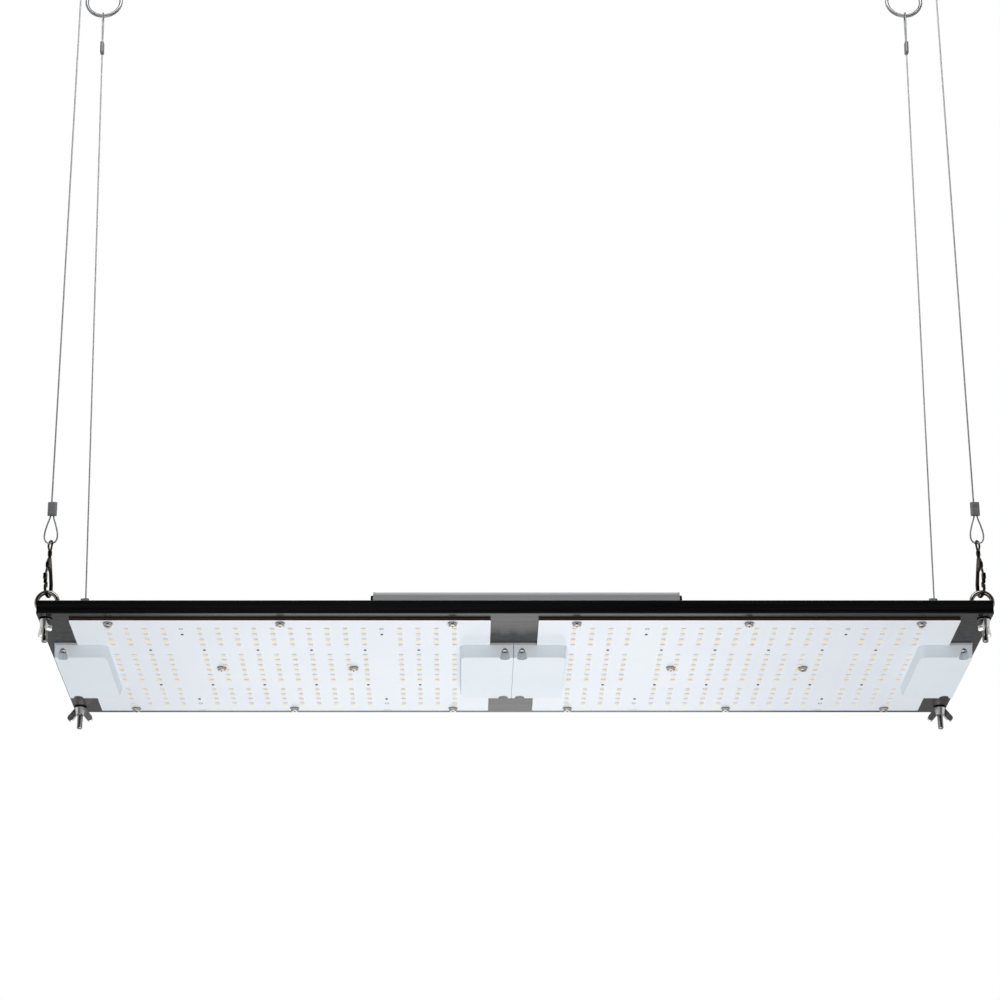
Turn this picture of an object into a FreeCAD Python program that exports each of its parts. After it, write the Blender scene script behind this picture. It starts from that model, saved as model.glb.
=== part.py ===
import FreeCAD, Part
import math
import os
from FreeCAD import Placement, Rotation, Vector

# LED grow light hung by its four corners. Millimetres, +Z up, X along the plate.
# The origin lies under the middle of the plate, at the height of the eye bolts' tips.

# Heat sink: a flat aluminium extrusion with its two long edges turned up.
sink_length = 635.0
sink_width = 195.0
sink_thickness = 2.0
lip_height = 9.6
lip_thickness = 2.0
lip_edge_radius = 0.5

# LED boards: a wide body with a narrower tab at each end, two boards end to end.
board_body_length = 281.0
board_body_width = 178.0
board_thickness = 1.6
board_corner_radius = 0.8
board_pitch = 313.0
wire_hole_radius = 4.2

# LED packages: a grid with two columns and two rows left out.
led_size = 3.0
led_height = 0.6
led_columns = 20
led_rows = 16
led_column_pitch = 12.24
led_row_pitch = 9.8
skipped_columns = (4, 15)
skipped_rows = (4, 11)
led_gap = 0.02

# Chip parts soldered between the LEDs.
chip_length = 1.7
chip_width = 1.0
chip_height = 0.5
chip_columns = (2, 5, 8, 11, 14, 17)
chip_edge_rows = (1, 14)

# Connector covers: hollow plastic caps over the board tabs.
cover_length = 36.4
cover_width = 87.0
cover_depth = 8.0
cover_wall = 1.2
cover_side_draft = 3.0
cover_inner_draft = 1.0
cover_corner_radius = 4.0
cover_end_corner_radius = 1.2
cover_meeting_gap = 0.2
cover_board_clearance = 0.15
scoop_radius = 3.5
scoop_floor = 1.6
cover_screw_inset = 5.7
cover_screw_spread = 78.6
wire_slot_width = 8.4
wire_slot_height = 3.4

# M3 pan head screws, with a thin washer under those that hold the boards.
small_screw_radius = 1.45
small_head_radius = 2.8
small_head_height = 2.1
small_recess_width = 0.7
small_recess_length = 3.0
small_recess_depth = 1.1
small_screw_clearance = 0.05
small_through_clearance = 0.2
small_washer_radius = 3.4
small_washer_thickness = 0.4
screw_end_gap = 0.2
board_screw_long_spread = 115.0
board_screw_edge_inset = 5.0
board_screw_middle_spread = 46.0

# Wire-to-board terminals under the covers, and the leads that end in them.
terminal_length = 9.0
terminal_width = 12.0
terminal_height = 5.4
terminal_inset = 10.0
terminal_gap = 0.02
core_radius = 0.8
core_spread = 5.0
core_height = 2.7
jacket_radius = 3.0
grommet_hole_radius = 3.9
grommet_flange_radius = 4.9
grommet_flange_height = 1.2
grommet_clearance = 0.03
lead_entry_inset = 21.5

# Driver: an aluminium box on the top of the plate, with an end cap at each end.
driver_length = 212.0
driver_width = 68.0
driver_height = 39.8
driver_offset = 9.5
driver_wall = 2.2
driver_corner_radius = 2.5
driver_groove_pitch = 5.0
driver_groove_width = 0.9
driver_groove_depth = 0.4
cap_thickness = 1.5
cap_corner_radius = 2.0
foot_length = 16.0
foot_thickness = 3.0
foot_corner_radius = 4.0
cap_screw_inset = 4.2
cap_head_radius = 2.6
cap_head_height = 1.8
cap_screw_length = 9.0
cap_boss_radius = 3.4
cap_boss_length = 11.0
foot_screw_spread = 44.0
foot_screw_setback = 9.5
foot_screw_radius = 1.95
foot_head_radius = 3.8
foot_head_height = 2.6
circuit_length = 196.0
circuit_width = 58.0
circuit_thickness = 1.6
circuit_rise = 7.0
transformer_length = 36.0
transformer_width = 34.0
transformer_height = 22.0
transformer_flange = 3.0
transformer_coil_gap = 0.6

# Cable glands in the driver's end caps.
gland_thread_radius = 6.0
gland_hex_radius = 9.0
gland_hex_length = 5.0
gland_nut_radius = 8.0
gland_nut_length = 12.0
gland_tip_radius = 5.0
gland_tip_length = 4.0
gland_bore_radius = 3.05
gland_lead_clearance = 0.05
gland_rise = 21.0
gland_inner_length = 5.0

# Eye bolts at the four corners, held by a washer and a wing nut under the plate.
bolt_radius = 2.0
bolt_reach = 16.3
bolt_end_inset = 5.0
bolt_edge_inset = 10.6
bolt_tip_chamfer = 0.5
bolt_hole_clearance = 0.2
eye_section_radius = 1.55
eye_inner_radius = 5.4
collar_radius = 3.6
collar_height = 1.9
washer_radius = 4.5
washer_thickness = 0.8
washer_clearance = 0.15
nut_height = 5.0
nut_seat_radius = 4.2
nut_end_radius = 3.4
nut_clearance = 0.05
wing_thickness = 3.0
wing_width = 4.4
wing_length = 7.2
wing_start = 2.4
wing_drop = 1.8
wing_lean = 38.0
wing_turn_front = 60.0

# Snap hooks. Local Z runs up the hanging line from the eye's inner top, local Y is outboard.
hook_bar_radius = 1.0
hook_bend_radius = 4.8
hook_eye_gap = 0.25
hook_turn = 15.0
nose_height = 1.6
spine_low_height = 4.0
spine_bend_height = 9.0
spine_top_inset = 1.9
window_top_height = 17.5
shoulder_half = 1.15
shoulder_base_height = 19.0
shoulder_side_height = 21.5
shoulder_side_reach = 2.6
shoulder_top_height = 26.5
hook_edge_radius = 0.5
hook_neck_radius = 1.15
hook_neck_top = 28.1
ear_thickness = 0.6
ear_reach = 1.5
ear_top_rise = 1.8
trigger_pin_radius = 0.5
trigger_pin_height = 20.8
trigger_pin_offset = 1.9
trigger_pin_proud = 0.15
trigger_running_gap = 0.06
trigger_side_gap = 0.12
trigger_nose_gap = 0.4
trigger_hub_radius = 1.3
trigger_slot_gap = 0.3
trigger_wide_height = 7.0
trigger_lip_thickness = 1.1
trigger_lip_drop = 2.4
thumb_tab_reach = 1.3
thumb_tab_height = 4.5

# Swivel eyes on the hooks.
swivel_pin_radius = 0.55
swivel_running_gap = 0.06
swivel_socket_radius = 1.5
swivel_socket_length = 3.1
swivel_floor = 1.0
swivel_axial_gap = 0.3
swivel_head_gap = 0.15
swivel_head_radius = 0.9
swivel_head_height = 0.7
bail_wire_radius = 0.7
bail_bend_radius = 2.8
bail_foot_radius = 0.8
bail_foot_sink = 0.5
bail_arch_height = 36.2
bail_turn = 54.0

# Hanging wires, with a pressed ferrule on each end loop, and the rings that hold them. The
# rings are this much further out than the bolts.
wire_radius = 0.6
wire_bail_gap = 0.43
strand_spread = 0.65
ferrule_width = 6.4
ferrule_thickness = 3.0
ferrule_length = 9.3
ferrule_round = 1.4
ferrule_fit = 0.02
low_ferrule_start = 58.1
high_ferrule_drop = 27.0
tail_cover = 0.2
ring_bend_radius = 14.0
ring_section_radius = 1.5
ring_bar_height = 620.0
front_ring_offset = 8.0
rear_ring_offset = 18.0

arc_share = 0.45

# Heights that the pieces share.
plate_bottom = bolt_reach
plate_top = plate_bottom + sink_thickness
board_bottom = plate_bottom - board_thickness
cover_bottom = board_bottom - cover_depth
eye_center_height = plate_top + collar_height + eye_inner_radius + 2 * eye_section_radius
bolt_x = sink_length / 2 - bolt_end_inset
bolt_y = sink_width / 2 - bolt_edge_inset
wire_low_height = bail_arch_height + bail_bend_radius - bail_wire_radius - wire_bail_gap - wire_radius

# Board tabs are as much smaller than their covers as the wall and its clearance take.
tab_width = cover_width - 2 * (cover_wall + cover_board_clearance)
tab_end = board_pitch / 2 - cover_meeting_gap / 2 - cover_wall - cover_board_clearance
cover_screw_reach = board_pitch / 2 - cover_meeting_gap / 2 - cover_screw_inset
terminal_reach = board_pitch / 2 - terminal_inset
lead_entry_x = board_pitch - lead_entry_inset

sides = {"left": -1, "right": 1}
corners = {
    "front_left": (-1, -1),
    "front_right": (1, -1),
    "rear_left": (-1, 1),
    "rear_right": (1, 1),
}


def box(x_low, x_high, y_low, y_high, z_low, z_high):
    """A block between two corners."""
    return Part.makeBox(x_high - x_low, y_high - y_low, z_high - z_low, Vector(x_low, y_low, z_low))


def post(radius, x, y, z_low, z_high):
    """An upright cylinder."""
    return Part.makeCylinder(radius, z_high - z_low, Vector(x, y, z_low))


def bar(radius, start, end):
    """A round bar between two points."""
    start = Vector(*start)
    along = Vector(*end) - start
    return Part.makeCylinder(radius, along.Length, start, along)


def ball(radius, center):
    """A full sphere."""
    return Part.makeSphere(radius, Vector(*center))


def moved(shape, x=0.0, y=0.0, z=0.0):
    """A copy of a shape, shifted."""
    copy = shape.copy()
    copy.translate(Vector(x, y, z))
    return copy


def turned(shape, degrees, axis=(0, 0, 1)):
    """A copy of a shape, turned about an axis through the origin."""
    copy = shape.copy()
    copy.rotate(Vector(0, 0, 0), Vector(*axis), degrees)
    return copy


def plate_outline(points, half_thickness):
    """A plate with its outline in the YZ plane, centred on X = 0."""
    corners_3d = [Vector(-half_thickness, y, z) for y, z in points]
    outline = Part.makePolygon(corners_3d + corners_3d[:1])
    return Part.Face(outline).extrude(Vector(2 * half_thickness, 0, 0))


def round_rectangle(x_low, x_high, y_low, y_high, z, low_radius, high_radius):
    """A level wire, a rectangle with one corner radius at low X and one at high X."""
    bend = math.sqrt(0.5)
    corner_list = [
        (x_high, y_high, 1, 1, high_radius),
        (x_low, y_high, -1, 1, low_radius),
        (x_low, y_low, -1, -1, low_radius),
        (x_high, y_low, 1, -1, high_radius),
    ]
    arcs = []
    for x, y, sign_x, sign_y, radius in corner_list:
        center = Vector(x - sign_x * radius, y - sign_y * radius, z)
        side = center + Vector(sign_x * radius, 0, 0)
        middle = center + Vector(sign_x * radius * bend, sign_y * radius * bend, 0)
        front = center + Vector(0, sign_y * radius, 0)
        ends = (side, front) if sign_x * sign_y > 0 else (front, side)
        arcs.append((ends[0], middle, ends[1]))
    edges = []
    for number, (start, middle, end) in enumerate(arcs):
        edges.append(Part.Arc(start, middle, end).toShape())
        following = arcs[(number + 1) % len(arcs)][0]
        edges.append(Part.LineSegment(end, following).toShape())
    return Part.Wire(edges)


def route_edges(points):
    """Straight runs joined by tangent arcs, and the radii of those arcs."""
    points = [Vector(*point) for point in points]
    edges = []
    radii = []
    last = points[0]
    for before, here, after in zip(points, points[1:], points[2:]):
        into = here - before
        out = after - here
        reach = arc_share * min(into.Length, out.Length)
        turn = into.getAngle(out)
        radius = reach / math.tan(turn / 2)
        start = here - into.normalize() * reach
        end = here + out.normalize() * reach
        center_way = (out - into).normalize()
        middle = here + center_way * (radius / math.cos(turn / 2) - radius)
        edges.append(Part.LineSegment(last, start).toShape())
        edges.append(Part.Arc(start, middle, end).toShape())
        radii.append(radius)
        last = end
    edges.append(Part.LineSegment(last, points[-1]).toShape())
    return edges, radii


def tube(points, radius):
    """A round tube along a route."""
    edges, radii = route_edges(points)
    start = Vector(*points[0])
    along = Vector(*points[1]) - start
    section = Part.Wire([Part.makeCircle(radius, start, along)])
    solid = Part.Wire(edges).makePipeShell([section], True, False)
    return solid


def report_route(name, points, radius):
    """Print a cord's length, its arc radii, and its volume against section times length."""
    edges, radii = route_edges(points)
    length = sum(edge.Length for edge in edges)
    ideal = math.pi * radius ** 2 * length
    listed = " ".join("%.1f" % value for value in radii)
    share = tube(points, radius).Volume / ideal
    print("%s: length %.1f, volume share %.4f, arc radii %s" % (name, length, share, listed))


# Places that repeat.

def board_center(side):
    """The X of a board's centre."""
    return side * board_pitch / 2


def board_screw_places(side):
    """Where the screws that hold one board stand."""
    edge = board_body_width / 2 - board_screw_edge_inset
    places = []
    for x in (-board_screw_long_spread, 0, board_screw_long_spread):
        places += [(x, -edge), (x, edge)]
    places += [(-board_screw_middle_spread, 0), (board_screw_middle_spread, 0)]
    return [(board_center(side) + x, y) for x, y in places]


def cover_screw_places(side):
    """Where the screws of one board's two covers stand."""
    half = cover_screw_spread / 2
    reach = cover_screw_reach
    return [(board_center(side) + x, y) for x in (-reach, reach) for y in (-half, half)]


def driver_screw_places():
    """Where the screws in the driver's feet stand."""
    half = foot_screw_spread / 2
    reach = driver_length / 2 + foot_screw_setback
    return [(driver_offset + x, y) for x in (-reach, reach) for y in (-half, half)]


def bolt_places():
    """Where the four eye bolts stand."""
    return [(side_x * bolt_x, side_y * bolt_y) for side_x, side_y in corners.values()]


def grid_place(column, row):
    """The place of one slot of the LED grid from the board's centre."""
    x = (column - (led_columns - 1) / 2) * led_column_pitch
    y = (row - (led_rows - 1) / 2) * led_row_pitch
    return x, y


# Fasteners.

def pan_screw(head_radius, head_height, shank_radius, shank_length):
    """A pan head screw whose head hangs below Z = 0 and whose shank stands above it."""
    head = post(head_radius, 0, 0, -head_height, 0)
    rim = [edge for edge in head.Edges if abs(edge.BoundBox.ZMax + head_height) < 0.01]
    head = head.makeFillet(0.45 * head_height, [e for e in rim if e.Length > head_radius])
    shank = post(shank_radius, 0, 0, 0, shank_length)
    scale = head_radius / small_head_radius
    half_length = scale * small_recess_length / 2
    half_width = scale * small_recess_width / 2
    depth = min(small_recess_depth * scale, 0.6 * head_height)
    slot = box(-half_length, half_length, -half_width, half_width, -head_height, depth - head_height)
    return head.fuse(shank).cut(slot).cut(turned(slot, 90))


def group(shapes):
    """Separate solids kept together as one node."""
    return Part.Compound(shapes)


def board_screws():
    """The screws that hold the boards to the plate."""
    seat = board_bottom - small_washer_thickness
    length = plate_top - screw_end_gap - seat
    screw = pan_screw(small_head_radius, small_head_height, small_screw_radius, length)
    places = board_screw_places(-1) + board_screw_places(1)
    return group([moved(screw, x, y, seat) for x, y in places])


def board_screw_washers():
    """The thin clear washers under those screws."""
    low = board_bottom - small_washer_thickness
    disc = post(small_washer_radius, 0, 0, low, board_bottom)
    hole = post(small_screw_radius + small_through_clearance, 0, 0, low, board_bottom)
    washer = disc.cut(hole)
    places = board_screw_places(-1) + board_screw_places(1)
    return group([moved(washer, x, y) for x, y in places])


def cover_screws():
    """The screws in the scoops of the covers."""
    seat = board_bottom - scoop_floor
    length = plate_top - screw_end_gap - seat
    screw = pan_screw(small_head_radius, small_head_height, small_screw_radius, length)
    places = cover_screw_places(-1) + cover_screw_places(1)
    return group([moved(screw, x, y, seat) for x, y in places])


# Heat sink and boards.

def heat_sink():
    """The plate with its turned-up edges and every hole in it."""
    half_length = sink_length / 2
    half_width = sink_width / 2
    plate = box(-half_length, half_length, -half_width, half_width, plate_bottom, plate_top)
    lip_top = plate_bottom + lip_height
    for side in sides.values():
        outer = side * half_width
        inner = side * (half_width - lip_thickness)
        lip = box(-half_length, half_length, min(outer, inner), max(outer, inner), plate_bottom, lip_top)
        plate = plate.fuse(lip)
    plate = plate.removeSplitter()
    rounded = [
        edge for edge in plate.Edges
        if edge.Length > sink_length - 1 and (edge.BoundBox.ZMax > lip_top - 0.01 or (
            edge.BoundBox.ZMax < plate_bottom + 0.01 and abs(edge.BoundBox.YMax) > half_width - 1))
    ]
    plate = plate.makeFillet(lip_edge_radius, rounded)
    holes = []
    for x, y in bolt_places():
        holes.append(post(bolt_radius + bolt_hole_clearance, x, y, plate_bottom, plate_top))
    for side in sides.values():
        for x, y in board_screw_places(side) + cover_screw_places(side):
            radius = small_screw_radius + small_screw_clearance
            holes.append(post(radius, x, y, plate_bottom, plate_top))
    for x, y in driver_screw_places():
        radius = foot_screw_radius + small_screw_clearance
        holes.append(post(radius, x, y, plate_bottom, plate_top))
    holes.append(post(grommet_hole_radius, lead_entry_x, 0, plate_bottom, plate_top))
    return plate.cut(holes)


def board(side):
    """One LED board, white on its lower face."""
    half_body = board_body_length / 2
    half_width = board_body_width / 2
    radius = board_corner_radius
    outline = round_rectangle(-half_body, half_body, -half_width, half_width, board_bottom, radius, radius)
    body = Part.Face(outline).extrude(Vector(0, 0, board_thickness))
    tabs = box(-tab_end, tab_end, -tab_width / 2, tab_width / 2, board_bottom, plate_bottom)
    panel = moved(body.fuse(tabs).removeSplitter(), board_center(side))
    hole_radius = small_screw_radius + small_through_clearance
    holes = []
    for x, y in board_screw_places(side) + cover_screw_places(side):
        holes.append(post(hole_radius, x, y, board_bottom, plate_bottom))
    entry = side * lead_entry_x
    holes.append(post(wire_hole_radius, entry, 0, board_bottom, plate_bottom))
    return panel.cut(holes)


def leds(side):
    """The LED packages of one board."""
    half = led_size / 2
    high = board_bottom - led_gap
    packages = []
    for column in range(led_columns):
        for row in range(led_rows):
            if column in skipped_columns or row in skipped_rows:
                continue
            x, y = grid_place(column, row)
            x += board_center(side)
            packages.append(box(x - half, x + half, y - half, y + half, high - led_height, high))
    return group(packages)


def board_components():
    """The chip resistors and diodes of both boards."""
    high = board_bottom - led_gap
    slots = [(column, row) for column in chip_columns for row in skipped_rows]
    slots += [(column, row) for column in skipped_columns for row in chip_edge_rows]
    chips = []
    for side in sides.values():
        for column, row in slots:
            x, y = grid_place(column, row)
            x += board_center(side)
            half_x = chip_length / 2
            half_y = chip_width / 2
            chips.append(box(x - half_x, x + half_x, y - half_y, y + half_y, high - chip_height, high))
    return group(chips)


# Connector covers and what they hide. Local X runs from the cover's outer end over the board.

def cover_block(inset):
    """The tapered block of a cover, made smaller all round by an inset."""
    half = cover_width / 2 - inset
    low_end = cover_length - inset
    radius = max(cover_corner_radius - inset, cover_board_clearance)
    end_radius = max(cover_end_corner_radius - inset, cover_board_clearance)
    bottom = cover_bottom + inset
    seat = round_rectangle(inset, low_end, -half, half, board_bottom, end_radius, radius)
    drop = half - cover_side_draft
    low_high = low_end - cover_inner_draft
    face = round_rectangle(inset, low_high, -drop, drop, bottom, end_radius, radius)
    return Part.makeLoft([seat, face], True, True)


def cover_skirt():
    """The rim that drops past the tab's three edges to the plate."""
    body_start = board_pitch / 2 - cover_meeting_gap / 2 - board_body_length / 2
    length = body_start - cover_board_clearance
    half = cover_width / 2
    rim = box(0, length, -half, half, board_bottom, plate_bottom)
    inner_half = half - cover_wall
    return rim.cut(box(cover_wall, length, -inner_half, inner_half, board_bottom, plate_bottom))


def connector_cover(has_wire_slot):
    """One hollow cover with two screw scoops."""
    solid = cover_block(0)
    shell = solid.cut(cover_block(cover_wall)).fuse(cover_skirt())
    floor = board_bottom - scoop_floor
    for y in (-cover_screw_spread / 2, cover_screw_spread / 2):
        boss = post(scoop_radius + cover_wall, cover_screw_inset, y, cover_bottom, board_bottom)
        shell = shell.fuse(boss.common(solid))
        shell = shell.cut(post(scoop_radius, cover_screw_inset, y, cover_bottom, floor))
        hole_radius = small_screw_radius + small_through_clearance
        shell = shell.cut(post(hole_radius, cover_screw_inset, y, floor, board_bottom))
    if has_wire_slot:
        half = wire_slot_width / 2
        middle = board_bottom - core_height
        low = middle - wire_slot_height / 2
        shell = shell.cut(box(0, cover_wall, -half, half, low, low + wire_slot_height))
    return shell.removeSplitter()


def placed_cover(side, end):
    """A cover at one end of one board. End 1 is the end away from the middle."""
    cover = connector_cover(end < 0)
    away = board_pitch / 2 - cover_meeting_gap / 2
    if side * end > 0:
        cover = turned(cover, 180)
    return moved(cover, board_center(side) + side * end * away)


def terminal_places():
    """The X of the four terminals."""
    return [board_center(side) + end * terminal_reach for side in (-1, 1) for end in (-1, 1)]


def terminal_blocks():
    """The wire-to-board terminals on the tabs."""
    half_x = terminal_length / 2
    half_y = terminal_width / 2
    high = board_bottom - terminal_gap
    blocks = []
    for x in terminal_places():
        block = box(x - half_x, x + half_x, -half_y, half_y, high - terminal_height, high)
        for y in (-core_spread / 2, core_spread / 2):
            z = board_bottom - core_height
            entry = bar(core_radius + terminal_gap, (x - half_x, y, z), (x + half_x, y, z))
            block = block.cut(entry)
        blocks.append(block)
    return group(blocks)


def jumper_leads():
    """The two cores that join the boards under the inner covers."""
    reach = terminal_inset + terminal_length / 4
    z = board_bottom - core_height
    ends = [-core_spread / 2, core_spread / 2]
    return group([bar(core_radius, (-reach, y, z), (reach, y, z)) for y in ends])


def lead_route():
    """The driver's output lead, from its gland along the plate to the grommet."""
    start = gland_end(1) - gland_tip_length
    height = plate_top + gland_rise
    span = lead_entry_x - start
    return [
        (start, 0, height),
        (start + 0.14 * span, 0, height),
        (start + 0.32 * span, -6, height - 8),
        (start + 0.52 * span, -7, height - 11),
        (start + 0.72 * span, -3, height - 6),
        (start + 0.88 * span, 0, height - 1),
        (lead_entry_x - 2.5, 0.5, height - 4),
        (lead_entry_x, 0, height - 12),
        (lead_entry_x, 0, board_bottom + board_thickness / 2),
    ]


def output_lead():
    """The jacketed lead and the two cores that leave it under the cover."""
    route = lead_route()
    jacket = tube(route, jacket_radius)
    pieces = [jacket]
    end_x = board_center(1) + terminal_reach
    z = board_bottom - core_height
    for sign in (-1, 1):
        core = [
            (lead_entry_x, sign * core_spread / 3, route[-1][2]),
            (lead_entry_x, sign * core_spread / 3, z - 0.2),
            (lead_entry_x + 3.6, sign * core_spread / 2, z),
            (end_x, sign * core_spread / 2, z),
        ]
        pieces.append(tube(core, core_radius))
    return group(pieces)


def lead_grommet():
    """The rubber bush that lines the lead's hole in the plate."""
    flange = post(grommet_flange_radius, lead_entry_x, 0, plate_top, plate_top + grommet_flange_height)
    sleeve_radius = grommet_hole_radius - grommet_clearance
    sleeve = post(sleeve_radius, lead_entry_x, 0, plate_bottom, plate_top)
    top_edges = [edge for edge in flange.Edges if edge.BoundBox.ZMin > plate_top + 0.1]
    flange = flange.makeFillet(0.5 * grommet_flange_height, top_edges)
    bore = post(jacket_radius + grommet_clearance, lead_entry_x, 0, plate_bottom, board_center(1))
    return flange.fuse(sleeve).cut(bore)


# Driver.

def driver_section(x_low, x_high, inset, radius):
    """A block with the driver's cross-section, made smaller all round by an inset."""
    half = driver_width / 2 - inset
    low = plate_top + inset
    high = plate_top + driver_height - inset
    block = box(x_low, x_high, -half, half, low, high)
    long_edges = [edge for edge in block.Edges if abs(edge.Length - (x_high - x_low)) < 0.01]
    return block.makeFillet(radius, long_edges)


def cap_screw_places():
    """The Y and Z of the four screws in each end cap."""
    half = driver_width / 2 - cap_screw_inset
    low = plate_top + cap_screw_inset
    high = plate_top + driver_height - cap_screw_inset
    return [(y, z) for y in (-half, half) for z in (low, high)]


def driver_case():
    """The extruded housing, open at both ends, with fine grooves along its sides."""
    reach = driver_length / 2 - cap_thickness
    outer = driver_section(driver_offset - reach, driver_offset + reach, 0, driver_corner_radius)
    inner_radius = driver_corner_radius / 2
    inner = driver_section(driver_offset - reach, driver_offset + reach, driver_wall, inner_radius)
    case = outer.cut(inner)
    low, high = driver_offset - reach, driver_offset + reach
    grooves = []
    count = int((driver_height - 2 * driver_corner_radius) / driver_groove_pitch)
    for number in range(count):
        z = plate_top + driver_corner_radius + (number + 0.5) * driver_groove_pitch
        for side in sides.values():
            y = side * driver_width / 2
            grooves.append(box(low, high, y - driver_groove_depth, y + driver_groove_depth,
                               z, z + driver_groove_width))
    case = case.cut(grooves)
    for y, z in cap_screw_places():
        for end in (-1, 1):
            start = driver_offset + end * reach
            boss = bar(cap_boss_radius, (start, y, z), (start - end * cap_boss_length, y, z))
            case = case.fuse(boss.common(outer))
    for y, z in cap_screw_places():
        for end in (-1, 1):
            start = driver_offset + end * reach
            hole_radius = small_screw_radius + small_screw_clearance
            deep = start - end * cap_boss_length
            case = case.cut(bar(hole_radius, (start, y, z), (deep, y, z)))
    return case.removeSplitter()


def driver_cap(end):
    """An end plate with a foot that is screwed to the heat sink."""
    face = driver_length / 2
    plate = driver_section(face - cap_thickness, face, 0, cap_corner_radius)
    foot_end = face + foot_length
    half = driver_width / 2
    outline = round_rectangle(face - cap_thickness, foot_end, -half, half, plate_top,
                              cap_corner_radius / 2, foot_corner_radius)
    foot = Part.Face(outline).extrude(Vector(0, 0, foot_thickness))
    cap = plate.fuse(foot)
    for y, z in cap_screw_places():
        cap = cap.cut(bar(small_screw_radius + small_through_clearance, (0, y, z), (face + 1, y, z)))
        cap = cap.cut(bar(cap_head_radius + small_through_clearance, (face, y, z), (foot_end + 1, y, z)))
    for y in (-foot_screw_spread / 2, foot_screw_spread / 2):
        x = face + foot_screw_setback
        hole_radius = foot_screw_radius + small_through_clearance
        cap = cap.cut(post(hole_radius, x, y, plate_top, plate_top + foot_thickness))
    z = plate_top + gland_rise
    thread_hole = gland_thread_radius + small_screw_clearance
    cap = cap.cut(bar(thread_hole, (face - cap_thickness, 0, z), (face, 0, z)))
    if end < 0:
        cap = turned(cap, 180)
    return moved(cap, driver_offset)


def driver_cap_screws():
    """The dark pan head screws in the corners of the end caps."""
    length = cap_screw_length
    screw = pan_screw(cap_head_radius, cap_head_height, small_screw_radius, length)
    screws = []
    for end in (-1, 1):
        facing = turned(screw, -90 * end, (0, 1, 0))
        for y, z in cap_screw_places():
            screws.append(moved(facing, driver_offset + end * driver_length / 2, y, z))
    return group(screws)


def driver_mount_screws():
    """The screws through the driver's feet."""
    length = foot_thickness + sink_thickness - screw_end_gap
    screw = turned(pan_screw(foot_head_radius, foot_head_height, foot_screw_radius, length), 180, (1, 0, 0))
    seat = plate_top + foot_thickness
    return group([moved(screw, x, y, seat) for x, y in driver_screw_places()])


def driver_circuit_board():
    """The power supply's own circuit board, which slides into the housing."""
    half_x = circuit_length / 2
    half_y = circuit_width / 2
    low = plate_top + driver_wall + circuit_rise
    return box(driver_offset - half_x, driver_offset + half_x, -half_y, half_y, low, low + circuit_thickness)


def driver_transformer():
    """The transformer on that board: a ferrite core round a taped coil."""
    low = plate_top + driver_wall + circuit_rise + circuit_thickness
    half_x = transformer_length / 2
    half_y = transformer_width / 2
    core = box(-half_x, half_x, -half_y, half_y, low, low + transformer_height)
    window_x = half_x - transformer_flange
    window = box(-window_x, window_x, -half_y, half_y, low + transformer_flange,
                 low + transformer_height - transformer_flange)
    coil_radius = transformer_height / 2 - transformer_flange - transformer_coil_gap
    middle = low + transformer_height / 2
    coil = bar(coil_radius, (-window_x, 0, middle), (window_x, 0, middle))
    return moved(core.cut(window).fuse(coil), driver_offset)


def gland_end(side):
    """The X of a gland's outer end."""
    length = gland_hex_length + gland_nut_length + gland_tip_length
    return driver_offset + side * (driver_length / 2 + length)


def gland(side):
    """A screwed cable gland: a threaded body, a hexagon, and a domed nut."""
    z = plate_top + gland_rise
    face = driver_length / 2
    hex_points = []
    for corner in range(7):
        angle = math.radians(60 * corner)
        across = gland_hex_radius * math.cos(angle)
        up = gland_hex_radius * math.sin(angle)
        hex_points.append(Vector(face, across, z + up))
    body = Part.Face(Part.makePolygon(hex_points)).extrude(Vector(gland_hex_length, 0, 0))
    inner_end = face - cap_thickness - gland_inner_length
    body = body.fuse(bar(gland_thread_radius, (inner_end, 0, z), (face, 0, z)))
    nut_start = face + gland_hex_length
    tip_start = nut_start + gland_nut_length
    nut = bar(gland_nut_radius, (nut_start, 0, z), (tip_start, 0, z))
    tip = Part.makeCone(gland_nut_radius - 0.6, gland_tip_radius, gland_tip_length,
                        Vector(tip_start, 0, z), Vector(1, 0, 0))
    body = body.fuse(nut).fuse(tip)
    bore_end = tip_start + gland_tip_length
    bore_radius = gland_bore_radius if side < 0 else jacket_radius + gland_lead_clearance
    body = body.cut(bar(bore_radius, (inner_end, 0, z), (bore_end, 0, z)))
    if side < 0:
        body = turned(body, 180)
    return moved(body.removeSplitter(), driver_offset)


# Eye bolts, washers and wing nuts.

def eye_bolt(side_x, side_y):
    """A bolt with a ring at its top, seated on the plate by its collar."""
    eye_radius = eye_inner_radius + eye_section_radius
    ring = Part.makeTorus(eye_radius, eye_section_radius, Vector(0, 0, eye_center_height), Vector(0, 1, 0))
    collar_top = plate_top + collar_height + eye_section_radius
    collar = Part.makeCone(collar_radius, bolt_radius + 0.6, collar_top - plate_top, Vector(0, 0, plate_top))
    shank = post(bolt_radius, 0, 0, 0, plate_top)
    tip_edge = [edge for edge in shank.Edges if edge.BoundBox.ZMax < 0.01]
    shank = shank.makeChamfer(bolt_tip_chamfer, tip_edge)
    bolt = ring.fuse(collar).fuse(shank).removeSplitter()
    return moved(bolt, side_x * bolt_x, side_y * bolt_y)


def washer(side_x, side_y):
    """The flat washer under the plate."""
    low = plate_bottom - washer_thickness
    ring = post(washer_radius, 0, 0, low, plate_bottom)
    ring = ring.cut(post(bolt_radius + washer_clearance, 0, 0, low, plate_bottom))
    return moved(ring, side_x * bolt_x, side_y * bolt_y)


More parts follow.
